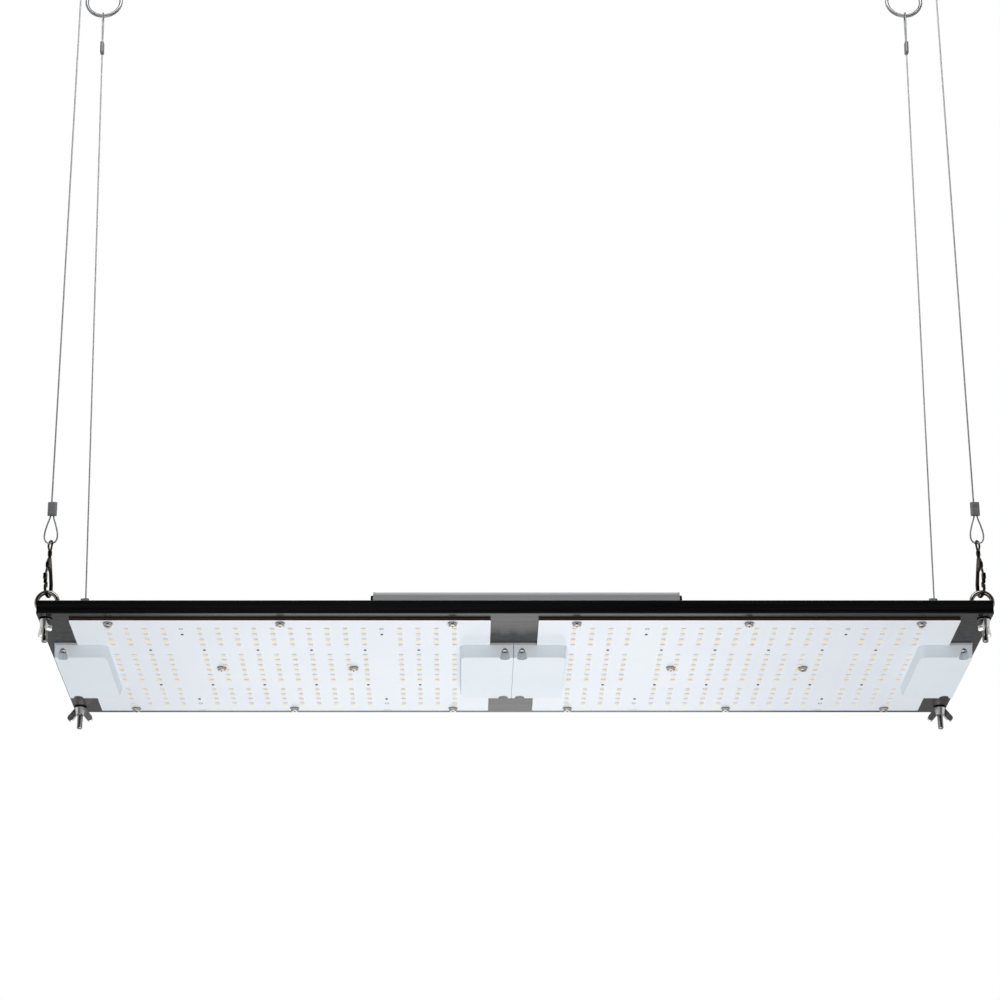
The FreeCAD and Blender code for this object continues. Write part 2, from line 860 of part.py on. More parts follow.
def wing():
    """One wing of a nut, leaning out and down from the hub."""
    half = wing_width / 2
    ear = box(-half, half, -wing_thickness / 2, wing_thickness / 2, -wing_length, 0)
    end_at = Vector(0, -wing_thickness / 2, -wing_length)
    end = Part.makeCylinder(half, wing_thickness, end_at, Vector(0, 1, 0))
    ear = turned(ear.fuse(end).removeSplitter(), -wing_lean, (0, 1, 0))
    return moved(ear, wing_start, 0, -wing_drop)


def wing_nut(side_x, side_y):
    """A wing nut hanging under the washer."""
    hub = Part.makeCone(nut_seat_radius, nut_end_radius, nut_height, Vector(0, 0, 0), Vector(0, 0, -1))
    nut = hub.fuse(wing()).fuse(turned(wing(), 180))
    above = box(-wing_length, wing_length, -wing_length, wing_length, 0, wing_length)
    nut = nut.cut(above)
    nut = nut.cut(post(bolt_radius + nut_clearance, 0, 0, -2 * wing_length, 0)).removeSplitter()
    if side_y < 0:
        nut = turned(nut, side_x * wing_turn_front)
    return moved(nut, side_x * bolt_x, side_y * bolt_y, plate_bottom - washer_thickness)


# Hanging lines. Each is drawn upright from the eye's inner top, then leaned to its ring.

def line_start(side_x, side_y):
    """The highest point inside a bolt's eye."""
    return Vector(side_x * bolt_x, side_y * bolt_y, eye_center_height + eye_inner_radius)


def line_end(side_x, side_y):
    """The centre of the ring's bar that a hanging line ends on."""
    offset = rear_ring_offset if side_y > 0 else front_ring_offset
    return Vector(side_x * (bolt_x + offset), side_y * bolt_y, ring_bar_height)


def line_length(side_x, side_y):
    """The length of a hanging line."""
    return (line_end(side_x, side_y) - line_start(side_x, side_y)).Length


def line_placement(side_x, side_y):
    """Local Z up the line, local Y outboard."""
    start = line_start(side_x, side_y)
    along = (line_end(side_x, side_y) - start).normalize()
    across = Vector(0, side_y, 0).cross(along).normalize()
    outboard = along.cross(across)
    return Placement(start, Rotation(across, outboard, along, "ZXY"))


def on_line(shape, side_x, side_y):
    """A shape moved from the upright local frame to its hanging line."""
    copy = shape.copy()
    copy.Placement = line_placement(side_x, side_y).multiply(copy.Placement)
    return copy


def hook_body():
    """The hook, from its nose round the bar and up the spine to the swivel pin."""
    r = hook_bar_radius
    bend = hook_bend_radius
    center = bend - r - hook_eye_gap
    inner = bend - r
    outer = bend + r
    low = Vector(0, 0, center - bend)
    arc = Part.Arc(Vector(0, bend, center), low, Vector(0, -bend, center)).toShape()
    section = Part.Wire([Part.makeCircle(r, Vector(0, bend, center), Vector(0, 0, 1))])
    hook = Part.Wire([arc]).makePipeShell([section], True, False)
    nose_top = center + nose_height
    hook = hook.fuse(post(r, 0, bend, center, nose_top)).fuse(ball(r, (0, bend, nose_top)))
    hook = hook.fuse(post(r, 0, -bend, center, spine_bend_height))
    slot_wall = trigger_pin_offset - trigger_hub_radius - trigger_slot_gap
    ear_side = trigger_pin_offset + ear_reach
    spine = plate_outline([
        (-outer, spine_low_height),
        (-inner, spine_low_height),
        (-inner, spine_bend_height),
        (-spine_top_inset, window_top_height),
        (slot_wall - 0.1, shoulder_base_height),
        (ear_side, shoulder_base_height),
        (ear_side, trigger_pin_height + ear_top_rise),
        (hook_neck_radius, shoulder_top_height),
        (-hook_neck_radius, shoulder_top_height),
        (-shoulder_side_reach, shoulder_side_height),
        (-outer, spine_bend_height),
    ], shoulder_half)
    long_edges = [edge for edge in spine.Edges if edge.Length > 4.2]
    spine = spine.makeFillet(hook_edge_radius, long_edges)
    slot_half = shoulder_half - ear_thickness
    slot_top = trigger_pin_height + trigger_hub_radius + trigger_slot_gap
    slot = box(-slot_half, slot_half, slot_wall, outer, shoulder_base_height - 1, slot_top)
    pin_hole = bar(trigger_pin_radius, (-shoulder_half, trigger_pin_offset, trigger_pin_height),
                   (shoulder_half, trigger_pin_offset, trigger_pin_height))
    spine = spine.cut(slot).cut(pin_hole)
    pocket_low = hook_neck_top + swivel_axial_gap + swivel_floor
    head_low = pocket_low + swivel_head_gap
    neck = post(hook_neck_radius, 0, 0, shoulder_top_height - 0.8, hook_neck_top)
    pin = post(swivel_pin_radius, 0, 0, hook_neck_top, head_low)
    head = post(swivel_head_radius, 0, 0, head_low, head_low + swivel_head_height)
    return hook.fuse([spine, neck, pin, head]).removeSplitter()


def on_hook(shape, side_x, side_y):
    """A shape of the hook, turned a little on its line and moved there."""
    return on_line(turned(shape, -side_x * side_y * hook_turn), side_x, side_y)


def snap_hook(side_x, side_y):
    """A snap hook and the rivet that its trigger turns on."""
    reach = shoulder_half + trigger_pin_proud
    pin = bar(trigger_pin_radius, (-reach, trigger_pin_offset, trigger_pin_height),
              (reach, trigger_pin_offset, trigger_pin_height))
    return on_hook(group([hook_body(), pin]), side_x, side_y)


def snap_trigger(side_x, side_y):
    """The sprung gate of a hook, with its thumb tab."""
    r = hook_bar_radius
    bend = hook_bend_radius
    nose_tip = bend - r - hook_eye_gap + nose_height + r
    low = nose_tip + trigger_nose_gap
    wide_top = low + trigger_wide_height
    y_low = bend - 0.8 * r
    y_high = bend + 0.8 * r
    tongue_half = shoulder_half - ear_thickness - trigger_side_gap
    tongue = plate_outline([
        (y_low, wide_top - 1),
        (y_high, wide_top - 1),
        (y_high, wide_top),
        (trigger_pin_offset + trigger_hub_radius, trigger_pin_height),
        (trigger_pin_offset - 0.5 * trigger_hub_radius, trigger_pin_height - 0.8 * trigger_hub_radius),
        (y_low, wide_top),
    ], tongue_half)
    hub = bar(trigger_hub_radius, (-tongue_half, trigger_pin_offset, trigger_pin_height),
              (tongue_half, trigger_pin_offset, trigger_pin_height))
    half = shoulder_half
    plate = box(-half, half, y_low, y_high, low, wide_top)
    plate = plate.makeFillet(0.4, plate.Edges)
    lip_high = bend - r - hook_eye_gap
    lip_low = lip_high - trigger_lip_thickness
    lip = box(-0.8 * r, 0.8 * r, lip_low, lip_high, low - trigger_lip_drop, low + 1.2)
    web = box(-0.8 * r, 0.8 * r, lip_low, y_low + 0.6, low + 0.1, low + 1.2)
    tab = box(-half, half, y_high - 0.4, y_high + thumb_tab_reach, wide_top - thumb_tab_height, wide_top)
    tab = tab.makeFillet(0.6, tab.Edges)
    gate = tongue.fuse([hub, plate, lip, web, tab]).removeSplitter()
    bore_radius = trigger_pin_radius + trigger_running_gap
    gate = gate.cut(bar(bore_radius, (-tongue_half, trigger_pin_offset, trigger_pin_height),
                        (tongue_half, trigger_pin_offset, trigger_pin_height)))
    return on_hook(gate, side_x, side_y)


def swivel_eye(side_x, side_y):
    """The small bail that the hook's pin turns in and the wire's loop holds."""
    low = hook_neck_top + swivel_axial_gap
    high = low + swivel_socket_length
    socket = post(swivel_socket_radius, 0, 0, low, high)
    rims = [edge for edge in socket.Edges if edge.BoundBox.ZLength < 0.01]
    socket = socket.makeFillet(0.3, rims)
    center = Vector(0, 0, bail_arch_height)
    arch = Part.makeTorus(bail_bend_radius, bail_wire_radius, center, Vector(0, 1, 0), -180, 180, 360)
    below = box(-9, 9, -9, 9, low - 9, bail_arch_height)
    arch = arch.cut(below)
    pieces = [arch]
    for sign in (-1, 1):
        foot = (sign * bail_foot_radius, 0, high - bail_foot_sink)
        top = (sign * bail_bend_radius, 0, bail_arch_height)
        pieces.append(bar(bail_wire_radius, foot, top))
        pieces.append(ball(bail_wire_radius, top))
    eye = socket.fuse(pieces).removeSplitter()
    bore = post(swivel_pin_radius + swivel_running_gap, 0, 0, low - 1, low + swivel_floor)
    pocket_high = low + swivel_floor + swivel_head_height + 2 * swivel_head_gap
    pocket = post(swivel_head_radius + swivel_running_gap, 0, 0, low + swivel_floor, pocket_high)
    eye = eye.cut(bore).cut(pocket)
    return on_line(turned(eye, side_x * bail_turn), side_x, side_y)


def wire_route(length):
    """A wire's route in its upright frame, from one tail round both loops to the other."""
    tail_low = low_ferrule_start + ferrule_length - tail_cover
    tail_high = length - high_ferrule_drop - ferrule_length + tail_cover
    half = strand_spread
    low = wire_low_height
    lower = [
        (half, 0, 57.5),
        (2.95, 0, 51.0),
        (4.55, 0, 44.1),
        (4.2, 0, 39.7),
        (1.9, 0, low),
    ]
    upper = [
        (0, half, length - 26.0),
        (0, 1.8, length - 18.5),
        (0, 2.6, length - 11.0),
        (0, 2.85, length - 4.0),
        (0, 2.4, length + 2.45),
    ]
    far_lower = [(-x, y, z) for x, y, z in lower]
    far_upper = [(x, -y, z) for x, y, z in reversed(upper)]
    ends = [(-half, 0, tail_low)], [(0, -half, tail_high)]
    return ends[0] + far_lower + list(reversed(lower)) + upper + far_upper + ends[1]


def hang_wire(side_x, side_y):
    """One steel rope with a loop at each end."""
    route = wire_route(line_length(side_x, side_y))
    return on_line(tube(route, wire_radius), side_x, side_y)


def ferrules(side_x, side_y):
    """The two pressed sleeves of one rope."""
    length = line_length(side_x, side_y)
    half_width = ferrule_width / 2
    half_thickness = ferrule_thickness / 2
    sleeve = box(-half_width, half_width, -half_thickness, half_thickness, 0, ferrule_length)
    upright = [edge for edge in sleeve.Edges if edge.BoundBox.ZLength > ferrule_length - 0.1]
    sleeve = sleeve.makeFillet(ferrule_round, upright)
    high_start = length - high_ferrule_drop - ferrule_length
    rope = tube(wire_route(length), wire_radius + ferrule_fit)
    low = moved(sleeve, 0, 0, low_ferrule_start).cut(rope)
    high = moved(turned(sleeve, 90), 0, 0, high_start).cut(rope)
    return on_line(group(low.Solids + high.Solids), side_x, side_y)


def hanging_rings(side):
    """The two welded steel rings of one end, upright, that the ceiling's hooks would carry."""
    rings = []
    for side_y in (-1, 1):
        center = line_end(side, side_y) + Vector(0, 0, ring_bend_radius)
        rings.append(Part.makeTorus(ring_bend_radius, ring_section_radius, center, Vector(0, 1, 0)))
    return group(rings)


def all_nodes():
    """Every piece under its name."""
    nodes = {
        "heat_sink": heat_sink(),
        "board_components": board_components(),
        "board_screws": board_screws(),
        "board_screw_washers": board_screw_washers(),
        "cover_screws": cover_screws(),
        "terminal_blocks": terminal_blocks(),
        "jumper_leads": jumper_leads(),
        "output_lead": output_lead(),
        "lead_grommet": lead_grommet(),
        "driver_case": driver_case(),
        "driver_cap_screws": driver_cap_screws(),
        "driver_mount_screws": driver_mount_screws(),
        "driver_circuit_board": driver_circuit_board(),
        "driver_transformer": driver_transformer(),
        "mains_gland": gland(-1),
        "output_gland": gland(1),
    }
    for name, side in sides.items():
        nodes["board_" + name] = board(side)
        nodes["leds_" + name] = leds(side)
        nodes["cover_%s_outer" % name] = placed_cover(side, 1)
        nodes["cover_%s_inner" % name] = placed_cover(side, -1)
        nodes["driver_cap_" + name] = driver_cap(side)
        nodes["rings_" + name] = hanging_rings(side)
    for name, corner in corners.items():
        nodes["eye_bolt_" + name] = eye_bolt(*corner)
        nodes["washer_" + name] = washer(*corner)
        nodes["wing_nut_" + name] = wing_nut(*corner)
        nodes["snap_hook_" + name] = snap_hook(*corner)
        nodes["snap_trigger_" + name] = snap_trigger(*corner)
        nodes["swivel_eye_" + name] = swivel_eye(*corner)
        nodes["hang_wire_" + name] = hang_wire(*corner)
        nodes["ferrules_" + name] = ferrules(*corner)
    return nodes


os.makedirs("parts", exist_ok=True)
for node_name, node_shape in all_nodes().items():
    node_shape.exportStep("parts/%s.step" % node_name)
for corner_name, corner_sides in corners.items():
    report_route("hang_wire_" + corner_name, wire_route(line_length(*corner_sides)), wire_radius)
report_route("output_lead", lead_route(), jacket_radius)
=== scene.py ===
import math

import bpy
from mathutils import Matrix, Vector


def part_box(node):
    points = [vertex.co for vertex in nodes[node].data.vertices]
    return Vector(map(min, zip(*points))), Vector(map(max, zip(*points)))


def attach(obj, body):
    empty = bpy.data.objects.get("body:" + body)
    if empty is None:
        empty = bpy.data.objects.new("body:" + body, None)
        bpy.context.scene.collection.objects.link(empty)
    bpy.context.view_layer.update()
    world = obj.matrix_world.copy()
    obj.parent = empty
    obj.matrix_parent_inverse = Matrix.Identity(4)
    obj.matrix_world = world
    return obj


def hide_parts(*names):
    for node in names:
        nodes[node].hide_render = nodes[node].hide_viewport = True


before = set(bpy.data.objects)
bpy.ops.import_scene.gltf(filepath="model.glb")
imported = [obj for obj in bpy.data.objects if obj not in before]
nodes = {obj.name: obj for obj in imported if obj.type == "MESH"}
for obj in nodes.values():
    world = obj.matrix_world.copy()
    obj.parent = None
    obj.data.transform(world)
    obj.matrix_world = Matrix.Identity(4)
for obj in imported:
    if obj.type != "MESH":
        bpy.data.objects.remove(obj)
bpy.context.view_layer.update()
MM = 0.001

# ---------------------------------------------------------------------------------------
# Camera. It looks up at the lamp from in front and below, a little left of its middle,
# with a long lens, so that the white boards show as a shallow strip under the black edge.

plate_low, plate_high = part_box("heat_sink")
camera_left = 37.2 * MM
camera_stand_off = 1585.1 * MM
camera_below_plate = 633.2 * MM
camera_pitch = math.radians(24.3)
lens_mm = 92.63
view_shift = 0.0411
sensor_mm = 36.0

camera_data = bpy.data.cameras.new("camera")
camera_data.lens = lens_mm
camera_data.sensor_width = sensor_mm
camera_data.shift_x = view_shift
camera = bpy.data.objects.new("camera", camera_data)
bpy.context.scene.collection.objects.link(camera)
camera.location = (-camera_left, plate_low.y - camera_stand_off, plate_low.z - camera_below_plate)
camera.rotation_euler = (math.pi / 2 + camera_pitch, 0, 0)
bpy.context.scene.camera = camera


# ---------------------------------------------------------------------------------------
# Wire ropes. Each hanger is a 1.2 mm galvanised steel rope of twisted strands, with a loop
# at both ends: the lower one holds the snap hook's swivel eye, the upper one hangs on a ring.
# Where two values are keyed -1 and 1, they are the front ropes' and the rear ropes'.

rope_radius = 0.6 * MM
rope_bodies = {-1: "front_ropes", 1: "rear_ropes"}
ring_offsets = {-1: 8.0 * MM, 1: 18.0 * MM}
strand_count = 6
strand_groove = 0.08 * MM
strand_lay = 9.0 * MM
ring_step = 0.55 * MM
points_per_strand = 3
curve_steps = 24
grime_size = 1.11 * MM
corners = {
    "front_left": (-1, -1),
    "front_right": (1, -1),
    "rear_left": (-1, 1),
    "rear_right": (1, 1),
}
eye_thickness = 3.1 * MM
ring_section_radius = 1.5 * MM


def tone(code):
    """An sRGB hex colour as linear RGBA."""
    channels = [int(code[i:i + 2], 16) / 255 for i in (0, 2, 4)]
    linear = [c / 12.92 if c <= 0.04045 else ((c + 0.055) / 1.055) ** 2.4 for c in channels]
    return (*linear, 1.0)


def add(tree, kind, values=None, **settings):
    """Add a shader node. Settings are its own properties, values fill or link its sockets."""
    made = tree.nodes.new(kind)
    for name, value in settings.items():
        setattr(made, name, value)
    for socket, value in (values or {}).items():
        if isinstance(value, bpy.types.NodeSocket):
            tree.links.new(value, made.inputs[socket])
        else:
            made.inputs[socket].default_value = value
    return made


def new_material(name):
    """An empty node material and its Principled shader."""
    material = bpy.data.materials.new(name)
    material.use_nodes = True
    shader = material.node_tree.nodes["Principled BSDF"]
    return material, material.node_tree, shader


def give(material, *pieces):
    """Make a material the only one of some pieces."""
    for piece in pieces:
        piece.data.materials.clear()
        piece.data.materials.append(material)
        for polygon in piece.data.polygons:
            polygon.material_index = 0


def hanging_line(side_x, side_y, name):
    """The length of the line from the eye's inner top to the ring's bar, and the matrix of that line."""
    eye_low, eye_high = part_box("eye_bolt_" + name)
    start = (eye_low + eye_high) / 2
    start.z = eye_high.z - eye_thickness
    ring_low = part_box("rings_left" if side_x < 0 else "rings_right")[0]
    end = start.copy()
    end.x += side_x * ring_offsets[side_y]
    end.z = ring_low.z + ring_section_radius
    along = (end - start).normalized()
    across = Vector((0, side_y, 0)).cross(along).normalized()
    outboard = along.cross(across)
    turn = Matrix((across, outboard, along)).transposed().to_4x4()
    return (end - start).length, Matrix.Translation(start) @ turn


def rope_points(length):
    """A rope's points in its upright frame, in metres: tail, lower loop, upper loop, tail."""
    lower = [
        (0.00064, 0, 0.0647),
        (0.00065, 0, 0.0575),
        (0.00295, 0, 0.0510),
        (0.00455, 0, 0.0441),
        (0.00420, 0, 0.0397),
        (0.00190, 0, 0.03727),
    ]
    upper = [
        (0, 0.00065, length - 0.0332),
        (0, 0.00065, length - 0.0260),
        (0, 0.00180, length - 0.0185),
        (0, 0.00260, length - 0.0110),
        (0, 0.00285, length - 0.0040),
        (0, 0.00240, length + 0.00245),
    ]
    far_lower = [(-x, y, z) for x, y, z in lower[1:]]
    far_upper = [(x, -y, z) for x, y, z in reversed(upper[1:])]
    first = [(-0.00065, 0, 0.0672)]
    last = [(0, -0.00065, length - 0.0361)]
    return first + far_lower + list(reversed(lower)) + upper + far_upper + last


def smooth_line(name, points):
    """The points of the smooth line that a route's points pull along."""
    data = bpy.data.curves.new(name, "CURVE")
    data.dimensions = "3D"
    data.resolution_u = curve_steps
    spline = data.splines.new("NURBS")
    spline.points.add(len(points) - 1)
    for place, point in zip(spline.points, points):
        place.co = (*point, 1.0)
    spline.order_u = 3
    spline.use_endpoint_u = True
    carrier = bpy.data.objects.new(name, data)
    bpy.context.scene.collection.objects.link(carrier)
    bpy.context.view_layer.update()
    mesh = bpy.data.meshes.new_from_object(carrier)
    line = [vertex.co.copy() for vertex in mesh.vertices]
    bpy.data.meshes.remove(mesh)
    bpy.data.objects.remove(carrier)
    return line


def even_steps(line, step):
    """Points an even step apart along a line."""
    travelled = [0.0]
    for before, here in zip(line, line[1:]):
        travelled.append(travelled[-1] + (here - before).length)
    count = max(2, round(travelled[-1] / step))
    steps = []
    segment = 0
    for number in range(count + 1):
        goal = travelled[-1] * number / count
        while segment < len(line) - 2 and travelled[segment + 1] < goal:
            segment += 1
        span = travelled[segment + 1] - travelled[segment]
        share = (goal - travelled[segment]) / span if span > 0 else 0.0
        steps.append(line[segment].lerp(line[segment + 1], min(max(share, 0.0), 1.0)))
    return steps


def carried_frames(line):
    """At each point of a line, two directions across it that turn as little as they can."""
    frames = []
    side = None
    for number, here in enumerate(line):
        ahead = line[min(number + 1, len(line) - 1)]
        behind = line[max(number - 1, 0)]
        along = (ahead - behind).normalized()
        if side is None:
            side = along.orthogonal().normalized()
        side = (side - along * side.dot(along)).normalized()
        frames.append((here, side, along.cross(side)))
    return frames


def piece_from(name, vertices, faces, body, smooth=True):
    """A mesh piece that rides on a body."""
    mesh = bpy.data.meshes.new(name)
    mesh.from_pydata([tuple(vertex) for vertex in vertices], [], faces)
    mesh.validate()
    mesh.update()
    for polygon in mesh.polygons:
        polygon.use_smooth = smooth
    made = bpy.data.objects.new(name, mesh)
    bpy.context.scene.collection.objects.link(made)
    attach(made, body)
    return made


def skin_rings(rings):
    """Vertices and faces of a closed skin over rings of equal size, with both ends capped."""
    size = len(rings[0])
    vertices = [vertex for ring in rings for vertex in ring]
    faces = []
    for row in range(len(rings) - 1):
        for column in range(size):
            after = (column + 1) % size
            faces.append((row * size + column, row * size + after,
                          (row + 1) * size + after, (row + 1) * size + column))
    faces.append(tuple(reversed(range(size))))
    faces.append(tuple(range((len(rings) - 1) * size, len(rings) * size)))
    return vertices, faces


def twisted_rope(name, line, body):
    """A rope's skin: strands side by side that wind round its middle."""
    spots = strand_count * points_per_strand
    rings = []
    for number, (here, side, up) in enumerate(carried_frames(line)):
        twist = 2 * math.pi * number * ring_step / strand_lay
        ring = []
        for spot in range(spots):
            angle = 2 * math.pi * spot / spots
            groove = abs(math.sin(strand_count * angle / 2))
            radius = rope_radius - strand_groove * (1 - groove)
            direction = side * math.cos(angle + twist) + up * math.sin(angle + twist)
            ring.append(here + direction * radius)
        rings.append(ring)
    return piece_from(name, *skin_rings(rings), body)


# Drawn and stranded steel wire: a dull grey metal with a little grime between its strands.
stranded_steel, tree, shader = new_material("stranded_steel_wire")
place = add(tree, "ShaderNodeTexCoord")
grime = add(tree, "ShaderNodeTexNoise", {"Vector": place.outputs["Object"], "Scale": 1 / grime_size,
                                         "Detail": 3.0})
shade = add(tree, "ShaderNodeMix", {"Factor": grime.outputs["Fac"], "A": tone("9a9c9e"),
                                    "B": tone("c0c2c4")}, data_type="RGBA")
tree.links.new(shade.outputs["Result"], shader.inputs["Base Color"])
shader.inputs["Metallic"].default_value = 1.0
shader.inputs["Roughness"].default_value = 0.42

lines = {}
for name, sides in corners.items():
    length, line_matrix = hanging_line(*sides, name)
    lines[name] = line_matrix
    route = [line_matrix @ Vector(point) for point in rope_points(length)]
    path = even_steps(smooth_line("route_" + name, route), ring_step)
    rope = twisted_rope("rope_" + name, path, rope_bodies[sides[1]])
    give(stranded_steel, rope)
    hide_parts("hang_wire_" + name)


# ---------------------------------------------------------------------------------------
# Studio. A pale floor well below the lamp, white surroundings that are dim only above and
# behind the camera, three soft boxes below that light the boards, and one above.

floor_level = -0.92
floor_reach = 6.0
paper_white = tone("ffffff")
surround_strength = 0.74
dark_strength = 0.005
dark_direction = Vector((0, -0.86, 0.5)).normalized()
dark_begins = 0.4
dark_full = 0.8

floor_mesh = bpy.data.meshes.new("floor")
floor_corners = [(-floor_reach, -floor_reach), (floor_reach, -floor_reach),
                 (floor_reach, floor_reach), (-floor_reach, floor_reach)]
floor_mesh.from_pydata([(x, y, floor_level) for x, y in floor_corners], [], [(0, 1, 2, 3)])
floor = bpy.data.objects.new("floor", floor_mesh)
bpy.context.scene.collection.objects.link(floor)

# Matt background paper: no sheen, so it only sends light back up.
floor_paper, tree, shader = new_material("matt_floor_paper")
shader.inputs["Base Color"].default_value = tone("e6e6e6")
shader.inputs["Roughness"].default_value = 0.9
give(floor_paper, floor)

world = bpy.data.worlds.new("studio")
bpy.context.scene.world = world
world.use_nodes = True
tree = world.node_tree
tree.nodes.clear()
where = add(tree, "ShaderNodeTexCoord")
facing = add(tree, "ShaderNodeVectorMath", {0: where.outputs["Generated"], 1: dark_direction},
             operation="DOT_PRODUCT")
around = add(tree, "ShaderNodeMapRange", {"Value": facing.outputs["Value"],
                                          "From Min": dark_begins, "From Max": dark_full,
                                          "To Min": surround_strength, "To Max": dark_strength},
             interpolation_type="SMOOTHSTEP")
seen = add(tree, "ShaderNodeLightPath")
brightness = add(tree, "ShaderNodeMix", {"Factor": seen.outputs["Is Camera Ray"],
                                         "A": around.outputs["Result"], "B": 1.0})
backdrop = add(tree, "ShaderNodeBackground", {"Color": paper_white, "Strength": brightness.outputs["Result"]})
add(tree, "ShaderNodeOutputWorld", {"Surface": backdrop.outputs["Background"]})
bpy.context.scene.view_settings.view_transform = "Standard"


def soft_box(name, place, target, size, watts):
    """A rectangular soft light that faces a target."""
    data = bpy.data.lights.new(name, "AREA")
    data.shape = "RECTANGLE"
    data.size, data.size_y = size
    data.energy = watts
    lamp = bpy.data.objects.new(name, data)
    bpy.context.scene.collection.objects.link(lamp)
    lamp.location = place
    lamp.rotation_euler = (Vector(target) - Vector(place)).to_track_quat("-Z", "Y").to_euler()
    lamp.visible_camera = False


# Each soft box's name, place and size in metres, and watts.
soft_boxes = [
    ("front_soft_box", (-0.4, -1.3, -0.75), (1.4, 0.7), 3.0),
    ("lower_soft_box", (0.05, 0.0, -0.88), (1.3, 0.8), 4.7),
    ("upper_soft_box", (0, -0.9, 1.25), (1.2, 0.5), 9.0),
    ("rear_soft_box", (-0.02, 2.0, -0.8), (0.9, 1.0), 4.0),
]
plate_middle = (plate_low + plate_high) / 2
for name, place, size, watts in soft_boxes:
    soft_box(name, place, plate_middle, size, watts)


# ---------------------------------------------------------------------------------------
# Heat sink. One extruded aluminium tray, black anodised after it was cut and drilled. The
# die leaves fine straight lines along it, which blur what it mirrors.

# The real lines are about 0.3 mm apart, too fine to show, so they are drawn coarser.
line_spacing = 1.6 * MM
line_length = 240 * MM
line_depth = 0.04 * MM

# Black dye in a sealed oxide skin: near black, with a soft sheen streaked along the die lines.
anodised, tree, shader = new_material("black_anodised_aluminium_extrusion")
place = add(tree, "ShaderNodeTexCoord")
stretch = add(tree, "ShaderNodeMapping", {"Vector": place.outputs["Object"],
                                          "Scale": (1 / line_length, 1 / line_spacing, 1 / line_spacing)})
lines_noise = add(tree, "ShaderNodeTexNoise", {"Vector": stretch.outputs["Vector"], "Scale": 1.0,
                                               "Detail": 4.0})
shade = add(tree, "ShaderNodeMix", {"Factor": lines_noise.outputs["Fac"], "A": tone("050505"),
                                    "B": tone("0c0c0d")}, data_type="RGBA")
gloss = add(tree, "ShaderNodeMapRange", {"Value": lines_noise.outputs["Fac"], "From Min": 0.3,
                                         "From Max": 0.7, "To Min": 0.2, "To Max": 0.34})
relief = add(tree, "ShaderNodeBump", {"Height": lines_noise.outputs["Fac"], "Strength": 0.25,
                                      "Distance": line_depth})
tree.links.new(shade.outputs["Result"], shader.inputs["Base Color"])
tree.links.new(gloss.outputs["Result"], shader.inputs["Roughness"])
tree.links.new(relief.outputs["Normal"], shader.inputs["Normal"])
shader.inputs["IOR"].default_value = 1.5
give(anodised, nodes["heat_sink"])


# ---------------------------------------------------------------------------------------
# LED boards. Copper-clad laminate under a white solder mask that was screen printed and
# cured. They are screwed flat under the heat sink.

mask_mottle = 71.4 * MM

# Printed mask on laminate: a glossy cool white face. The upright edge faces are coloured dark brown.
mask_white, tree, shader = new_material("white_solder_mask_on_laminate")
place = add(tree, "ShaderNodeTexCoord")
facing = add(tree, "ShaderNodeSeparateXYZ", {"Vector": place.outputs["Normal"]})
upright = add(tree, "ShaderNodeMath", {0: facing.outputs["Z"]}, operation="ABSOLUTE")
is_edge = add(tree, "ShaderNodeMath", {0: upright.outputs["Value"], 1: 0.5}, operation="LESS_THAN")
mottle = add(tree, "ShaderNodeTexNoise", {"Vector": place.outputs["Object"], "Scale": 1 / mask_mottle,
                                          "Detail": 2.0})
mask = add(tree, "ShaderNodeMix", {"Factor": mottle.outputs["Fac"], "A": tone("e2eaf2"),
                                   "B": tone("edf3f8")}, data_type="RGBA")
shade = add(tree, "ShaderNodeMix", {"Factor": is_edge.outputs["Value"], "A": mask.outputs["Result"],
                                    "B": tone("4a2c22")}, data_type="RGBA")
tree.links.new(shade.outputs["Result"], shader.inputs["Base Color"])
shader.inputs["Roughness"].default_value = 0.32
shader.inputs["IOR"].default_value = 1.5
give(mask_white, nodes["board_left"], nodes["board_right"])


# ---------------------------------------------------------------------------------------
# LED packages. Each is a 3 mm white moulded cup filled level with yellow phosphor silicone,
# on a tinned lead frame. They were soldered in rows, with two rows and columns left out.

package_size = 3.0 * MM
cup_rim = 0.28 * MM
cup_depth = 0.16 * MM
cup_slope = 1.6
cup_mottle = 3.33 * MM
phosphor_mottle = 14.3 * MM
column_pitch = 12.24 * MM
row_pitch = 9.8 * MM
columns = 20
rows = 16
skipped_columns = (4, 15)
skipped_rows = (4, 11)


def square_ring(center, half, z):
    """The corners of a level square."""
    x, y = center
    return [(x - half, y - half, z), (x + half, y - half, z),
            (x + half, y + half, z), (x - half, y + half, z)]


def grid_place(low, high, column, row):
    """The X and Y of one place in a board's LED grid."""
    return ((low.x + high.x) / 2 + (column - (columns - 1) / 2) * column_pitch,
            (low.y + high.y) / 2 + (row - (rows - 1) / 2) * row_pitch)


